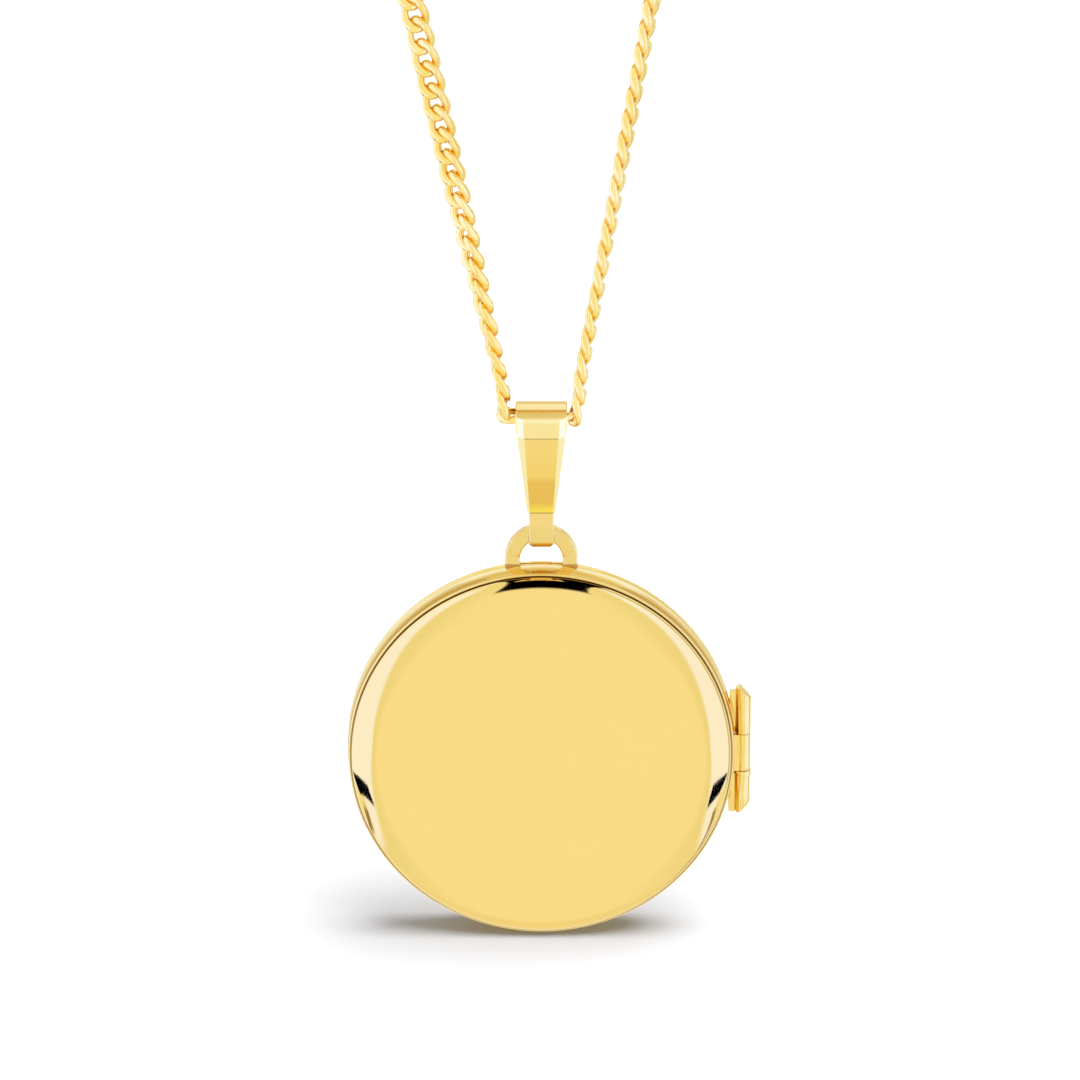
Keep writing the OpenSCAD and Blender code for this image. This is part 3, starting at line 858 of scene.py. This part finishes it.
# The frame's own nodes keep their shape and take these finishes
finishes = {
    "closing_lip": "gold_inner", "snap_bead": "gold_inner", "front_photo_frame": "gold_inner",
    "back_photo_frame": "gold_inner", "hinge_pin": "gold_rim", "clasp_body": "gold_clasp",
    "clasp_bolt": "gold_clasp", "clasp_end_loop": "gold_clasp", "clasp_jump_ring": "gold_clasp",
    "chain_end_ring": "gold_clasp", "front_window": "clear_window", "back_window": "clear_window",
    "clasp_spring": "spring_steel",
}
for node, finish in finishes.items():
    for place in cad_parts[node].material_slots:
        place.material = materials[finish]

studio = {
    "floorSize": 6.0,  # in metres
    "floorWhite": (0.87, 0.878, 0.90),
    "floorGlow": 0.01,
    "keyPower": 3.35,
    "keyWide": 56.0,  # how large the key looks, in degrees
    "fill": 0.40,  # what the room gives matt surfaces
    "cardFade": 8,  # degrees over which its front edge fades
    "cardArch": (40, 170),  # where the overhead card starts and ends, in degrees from the front
    "cardRadius": 0.6,  # in metres
    "cardLeft": (-0.26, -0.25, -0.28),  # its left edge in front, above and behind, in radii
    "cardRight": (0.27, 0.45, 0.38),
    "front": (1.06, 1.135, 1.19),  # what the flat face shows
    "frontDip": (0.97, 1.05, 1.02),  # the plain front's darker sides
    "sides": (1.10, 1.33, 2.75),
    "peak": 2.8,  # the brightest of all these
    "farRight": (0.70, 0.68, 0.50),
    "behind": [  # from and to a share of the way back, and the colour from there on
        (0.2, 0.6, (1.05, 1.25, 1.60)), (0.72, 0.80, (0.62, 0.50, 0.30)),
        (0.85, 0.91, (0.86, 0.84, 0.66)), (0.94, 0.97, (1.05, 1.22, 1.50)),
        (0.985, 0.995, (0.8, 0.85, 0.6))],
    "table": (1.0, 1.1, 1.15),
    "under": (1.0, 1.02, 0.95),
    "streak": (0.28, 0.19, 0.04),
    "keyWay": (0.28, -0.08, 1.0),
}


def makeFloor():
    size = studio["floorSize"] / 2
    mesh = bpy.data.meshes.new("floor")
    z = (floorZ - 0.02) * mm
    mesh.from_pydata([(-size, -size, z), (size, -size, z), (size, size, z), (-size, size, z)], [],
                     [(0, 1, 2, 3)])
    floor = addObject("floor", mesh)
    material = bpy.data.materials.new("floorWhite")
    nodes, links = emptyNodes(material)
    out = nodes.new("ShaderNodeOutputMaterial")
    both = nodes.new("ShaderNodeAddShader")
    matt = nodes.new("ShaderNodeBsdfDiffuse")
    glow = nodes.new("ShaderNodeEmission")
    matt.inputs["Color"].default_value = (*studio["floorWhite"], 1)
    glow.inputs["Strength"].default_value = studio["floorGlow"]
    links.new(matt.outputs[0], both.inputs[0])
    links.new(glow.outputs[0], both.inputs[1])
    links.new(both.outputs[0], out.inputs["Surface"])
    mesh.materials.append(material)
    floor.visible_glossy = False


def ramp(nodes, links, value, stops):
    # Colours along 0..1, held as shares of the peak
    node = nodes.new("ShaderNodeValToRGB")
    elements = node.color_ramp.elements
    while len(elements) < len(stops):
        elements.new(0.5)
    for element, (share, colour) in zip(elements, stops):
        element.position = share
        element.color = (*[c / studio["peak"] for c in colour], 1)
    links.new(value, node.inputs[0])
    return node.outputs["Color"]


# The covers see the cards dark, all else sees their light
seenDark = bpy.data.collections.new("seenDark")
for name in ("frontCover", "backCover"):
    seenDark.objects.link(bpy.data.objects[name])
for entry in seenDark.collection_objects:
    entry.light_linking.link_state = "EXCLUDE"


def makeCard(name, points, across, solid, stops, dark=True):
    # A glowing sheet seen only in polished metal. points is a grid whose rows run along the
    # sheet, solid is each point's cover in 0..1, and stops gives the glow along the sheet as
    # (share, colour).
    rows = len(points) // across
    mesh = bpy.data.meshes.new(name)
    mesh.from_pydata(points.tolist(), [], gridFaces(rows, across).tolist())
    for key, values in (("solid", solid), ("share", np.repeat(np.linspace(0, 1, rows), across))):
        mesh.attributes.new(key, "FLOAT", "POINT").data.foreach_set("value", np.ravel(values))
    card = addObject(name, mesh)
    material = bpy.data.materials.new(name)
    nodes, links = emptyNodes(material)
    reads = {}
    for key in ("solid", "share"):
        reads[key] = nodes.new("ShaderNodeAttribute")
        reads[key].attribute_name = key
    glow = nodes.new("ShaderNodeEmission")
    glow.inputs["Strength"].default_value = studio["peak"]
    links.new(ramp(nodes, links, reads["share"].outputs["Fac"], stops), glow.inputs["Color"])
    light = glow.outputs[0]
    if np.min(solid) < 1:
        clear = nodes.new("ShaderNodeBsdfTransparent")
        mix = nodes.new("ShaderNodeMixShader")
        links.new(reads["solid"].outputs["Fac"], mix.inputs[0])
        links.new(clear.outputs[0], mix.inputs[1])
        links.new(light, mix.inputs[2])
        light = mix.outputs[0]
    links.new(light, nodes.new("ShaderNodeOutputMaterial").inputs["Surface"])
    mesh.materials.append(material)
    card.visible_camera = False
    card.visible_diffuse = False
    card.visible_shadow = False
    card.visible_transmission = False
    if dark:
        card.light_linking.receiver_collection = seenDark


archGlow = [
    # share of the way from the front to the back, and the colour there
    (0, (1.1, 1.25, 1.6)), (0.11, (1.1, 1.25, 1.6)), (0.17, (0.90, 0.90, 0.84)),
    (0.41, (0.82, 0.82, 0.74)), (0.43, (0.62, 0.55, 0.40)), (0.455, (0.62, 0.55, 0.40)),
    (0.475, (1.1, 1.25, 1.8)), (0.76, (1.1, 1.25, 1.8)), (0.81, (0.80, 0.72, 0.46)),
    (0.87, (0.80, 0.72, 0.46)), (0.90, (0.92, 0.94, 0.8)), (0.97, (1.05, 1.22, 1.5)),
]


def archPoints(a, left, right):
    # Part of a cylinder about the X axis, at the locket's height: rows at the angles a, from x
    # left to right
    a, left, right = a[:, None], left[:, None], right[:, None]
    x = left + (right - left) * np.linspace(0, 1, 13)[None, :]
    radius, centre = studio["cardRadius"], locketMid * mm
    return np.stack([centre[0] + x, centre[1] - radius * np.cos(a) + 0 * x,
                     centre[2] + radius * np.sin(a) + 0 * x], -1).reshape(-1, 3)


def makeArch():
    # A curved card over the object
    start, end = (math.radians(a) for a in studio["cardArch"])
    a = np.linspace(start, end, 61)
    share = (a - start) / (end - start)
    left, right = (studio["cardRadius"] * np.interp(share, [0, 0.5, 1], studio[key])
                   for key in ("cardLeft", "cardRight"))
    points = archPoints(a, left, right)
    makeCard("archCard", points, 13, np.ones(len(points)), archGlow)
    # Its front edge fades out
    a = np.linspace(start - math.radians(studio["cardFade"]), start, 13)
    points = archPoints(a, np.full(13, left[0]), np.full(13, right[0]))
    makeCard("archEdge", points, 13, np.repeat(np.linspace(0, 0.95, 13), 13),
             [(0, archGlow[0][1]), (1, archGlow[0][1])])


def makeSkyCard(name, route, solid, soft, colour, centre=(0, 0, 0), radius=500, dark=True):
    # A strip on a sphere about a point that is given from the locket's middle in mm. The route
    # gives azimuth from the front towards +X, elevation and half the strip's height, in degrees.
    route = np.asarray(route, float)
    t = np.linspace(0, len(route) - 1, 41)
    azimuth, rise, half = (np.radians(np.interp(t, np.arange(len(route)), route[:, k]))[:, None]
                           for k in range(3))
    v = np.linspace(-1, 1, 9)[None, :]
    rise = rise + half * v
    azimuth = azimuth + 0 * v
    way = np.stack([np.cos(rise) * np.sin(azimuth), -np.cos(rise) * np.cos(azimuth),
                    np.sin(rise)], -1)
    points = (locketMid + np.array(centre) + radius * way) * mm
    inside = solid * np.clip((1.001 - np.abs(v)) / soft, 0, 1) + 0 * rise
    makeCard(name, points.reshape(-1, 3), 9, inside, [(0, colour), (1, colour)], dark)


def makeKey(way, strength, wide):
    # A broad even light from far off; way points from the locket to it
    data = bpy.data.lights.new("key", "SUN")
    data.energy = strength
    data.angle = math.radians(wide)
    lamp = addObject("key", data)
    lamp.rotation_euler = (-Vector(way)).to_track_quat("-Z", "Y").to_euler()
    lamp.visible_glossy = False
    lamp.visible_camera = False


def makeWorld():
    # White for the camera and for matt surfaces. Polished metal sees a room by direction:
    # cool bright sides, a plain front, a warmer back and a table.
    world = bpy.data.worlds.new("studio")
    bpy.context.scene.world = world
    nodes, links = emptyNodes(world)
    way = nodes.new("ShaderNodeTexCoord").outputs["Generated"]
    split = nodes.new("ShaderNodeSeparateXYZ")
    links.new(way, split.inputs[0])

    def maths(kind, *values):
        return mathNode(nodes, links, kind, *values)

    sideways = maths("ABSOLUTE", split.outputs["X"])
    height = split.outputs["Z"]
    # The plain front is narrow at the table's edge and widens above and below it; its sides
    # are a little darker before the bright sides of the room
    upper = maths("ADD", maths("MULTIPLY_ADD", height, 0.5, 0.52),
                  maths("MULTIPLY", maths("MULTIPLY", height, height), -0.7))
    edge = maths("MAXIMUM", upper, maths("MULTIPLY_ADD", height, -0.9, -0.078))
    share = maths("DIVIDE", sideways, maths("MULTIPLY", edge, 2.0))
    front, dip, sides = studio["front"], studio["frontDip"], studio["sides"]
    room = ramp(nodes, links, share, [
        (0, front), (0.10, front), (0.38, dip), (0.49, dip), (0.57, sides), (1, sides)])
    peak = nodes.new("ShaderNodeVectorMath")
    peak.operation = "SCALE"
    peak.inputs["Scale"].default_value = studio["peak"]
    links.new(room, peak.inputs[0])
    room = peak.outputs[0]
    # The far right is darker and warmer
    right = maths("MULTIPLY", mapRange(nodes, links, split.outputs["X"], 0, 0.25, 0, 1, True),
                  mapRange(nodes, links, split.outputs["Y"], 0.0, 0.15, 0, 1, True))
    room = mixColour(nodes, links, right, room, studio["farRight"])
    # Behind the object the room is warmer, with a brown edge and a light middle
    for low, high, colour in studio["behind"]:
        there = mapRange(nodes, links, split.outputs["Y"], low, high, 0, 1, True)
        room = mixColour(nodes, links, there, room, colour)
    # The table: light, then plain below
    far = mapRange(nodes, links, sideways, 0.64, 0.76, 0, 1, True)
    table = maths("MULTIPLY", mapRange(nodes, links, height, -0.56, -0.48, 1, 0, True), far)
    room = mixColour(nodes, links, table, room, studio["table"])
    under = mapRange(nodes, links, height, -0.92, -0.8, 1, 0, True)
    room = mixColour(nodes, links, under, room, studio["under"])
    seen = nodes.new("ShaderNodeLightPath")
    inMetal = nodes.new("ShaderNodeBackground")
    links.new(room, inMetal.inputs["Color"])
    fill, white = (nodes.new("ShaderNodeBackground") for _ in range(2))
    for plainLight, strength in ((fill, studio["fill"]), (white, 1)):
        plainLight.inputs["Color"].default_value = (1, 1, 1, 1)
        plainLight.inputs["Strength"].default_value = strength
    plain = nodes.new("ShaderNodeMixShader")
    links.new(seen.outputs["Is Camera Ray"], plain.inputs[0])
    links.new(fill.outputs[0], plain.inputs[1])
    links.new(white.outputs[0], plain.inputs[2])
    # Light that metal throws on matt surfaces is no brighter than the fill
    first = maths("LESS_THAN", seen.outputs["Diffuse Depth"], 0.5)
    choose = nodes.new("ShaderNodeMixShader")
    links.new(maths("MULTIPLY", seen.outputs["Is Glossy Ray"], first), choose.inputs[0])
    links.new(plain.outputs[0], choose.inputs[1])
    links.new(inMetal.outputs[0], choose.inputs[2])
    links.new(choose.outputs[0], nodes.new("ShaderNodeOutputWorld").inputs["Surface"])


makeFloor()
makeArch()
# Two small cards close to the covers' edge, low at each side, and two streaks below them
makeSkyCard("edgeCard", [(-27, -31.5, 0.4), (-33, -29.6, 3.0), (-50, -29.6, 3.3), (-80, -29.7, 4.3),
                         (-100, -27, 2.0), (-126, -23, 0.2)],
            1.0, 0.001, studio["sides"], (-11.4, -2.6, -2.1), 30)
makeSkyCard("edgeCard", [(25, -29.4, 0.4), (27.5, -29.2, 3.6), (56, -28.8, 3.4), (75, -26.8, 1.9),
                         (91, -24.8, 0.3)],
            1.0, 0.001, studio["sides"], (11.3, -2.6, -2.2), 30)
makeSkyCard("streakCard", [(-62, -37, 0.6), (-72, -39, 4.5), (-84, -41, 4.5), (-100, -43, 2.5),
                           (-149, -41, 0.8)], 0.9, 0.6, studio["streak"], dark=False)
makeSkyCard("streakCard", [(55, -36, 0.6), (66, -39, 4), (76, -43, 4), (86, -47.5, 3),
                           (95, -50, 0.8)], 0.9, 0.6, studio["streak"], dark=False)
makeKey(studio["keyWay"], studio["keyPower"], studio["keyWide"])
makeWorld()
bpy.context.scene.view_settings.view_transform = "Standard"
print("studio made")
